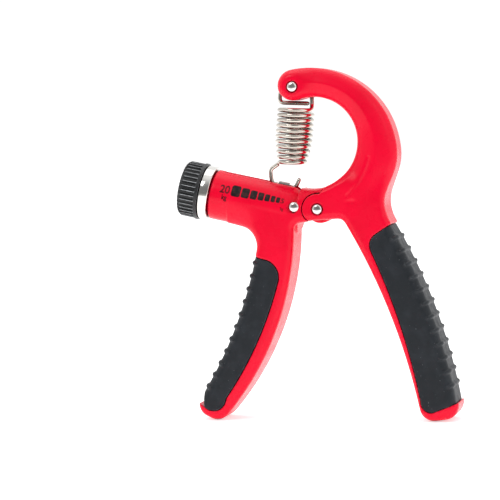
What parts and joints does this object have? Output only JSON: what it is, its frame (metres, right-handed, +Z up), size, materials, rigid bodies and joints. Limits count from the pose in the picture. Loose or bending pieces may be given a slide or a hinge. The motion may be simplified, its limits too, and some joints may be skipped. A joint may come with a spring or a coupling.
{
  "type": "hand grip strengthener",
  "caption": "Adjustable hand grip strengthener: two sprung handles with rubber grips, a C-shaped spring arm and a knob-driven screw that moves the spring's hook along a barrel.",
  "frame": {"origin": "middle of the bounding box's underside, with both handle ends on the ground plane and the handles open", "axes": "+Z up from the handle ends to the spring arm, +X from the knob's side towards the palm handle, +Y to the back; the printed face looks along -Y"},
  "size_m": [0.1268, 0.0256, 0.1569],
  "materials": {
    "red_plastic": "satin",
    "grip_rubber": "matte",
    "black_plastic": "satin",
    "grey_plastic": "satin",
    "print": "matte",
    "polished_steel": "polished",
    "machined_steel": "machined",
    "spring_steel": "nickel plated"
  },
  "bodies": {
    "finger_handle": {"finger_arm": "red_plastic", "finger_grip": "grip_rubber", "ferrule": "polished_steel", "barrel_bush": "grey_plastic", "end_bearing": "grey_plastic", "force_scale": "print", "bearing_pin": "polished_steel", "bearing_pin_cap": "polished_steel", "pivot_pin": "polished_steel", "pivot_pin_cap": "polished_steel"},
    "knob": {"knob": "black_plastic", "knob_cap": "black_plastic", "knob_screw": "machined_steel", "thrust_washer": "machined_steel", "lead_screw": "machined_steel", "circlip": "machined_steel"},
    "slider": {"slider_nut": "grey_plastic", "hook_bridge": "polished_steel"},
    "palm_handle": {"palm_arm": "red_plastic", "palm_grip": "grip_rubber", "spring_pin": "polished_steel", "spring_pin_cap": "polished_steel"},
    "spring_top": {"spring_top": "spring_steel"},
    "spring_middle": {"spring_middle": "spring_steel"},
    "spring_end": {"spring_end": "spring_steel"}
  },
  "joints": [
    {"name": "squeeze", "type": "hinge", "parent": "finger_handle", "child": "palm_handle", "pos_m": [0.00235, 0, 0.09426], "axis": [0, 1, 0], "range_deg": [0, 48], "stiffness_Nm_per_rad": 2.9, "springref_deg": -22.92},
    {"name": "knob_turn", "type": "hinge", "parent": "finger_handle", "child": "knob", "pos_m": [0.00155, 0, 0.09065], "axis": [-0.9763, 0, 0.2164], "range_deg": [-3600, 0]},
    {"name": "slider_slide", "type": "slide", "parent": "finger_handle", "child": "slider", "axis": [-0.9763, 0, 0.2164], "range_m": [0, 0.02]},
    {"name": "spring_swing", "type": "hinge", "parent": "palm_handle", "child": "spring_top", "pos_m": [-0.00775, 0, 0.14856], "axis": [0, 1, 0], "range_deg": [0, 24.72]},
    {"name": "spring_stretch", "type": "slide", "parent": "spring_top", "child": "spring_middle", "axis": [-0.1224, 0, -0.9925], "range_m": [0, 0.01587], "deforming": ["spring_top", "spring_middle"]},
    {"name": "hook_shift", "type": "slide", "parent": "spring_middle", "child": "spring_end", "axis": [-0.148, 0, -0.989], "range_m": [0, 0.00298], "deforming": ["spring_end"]}
  ],
  "couplings": [
    {"joint": "knob_turn", "follows": "slider_slide", "rad_per_m": -3141.6},
    {"joint": "spring_swing", "follows": "slider_slide", "rad_per_m": 21.57},
    {"joint": "hook_shift", "follows": "slider_slide", "ratio": 0.14898},
    {"joint": "spring_stretch", "follows": "squeeze", "m_per_rad": 0.018946}
  ]
}
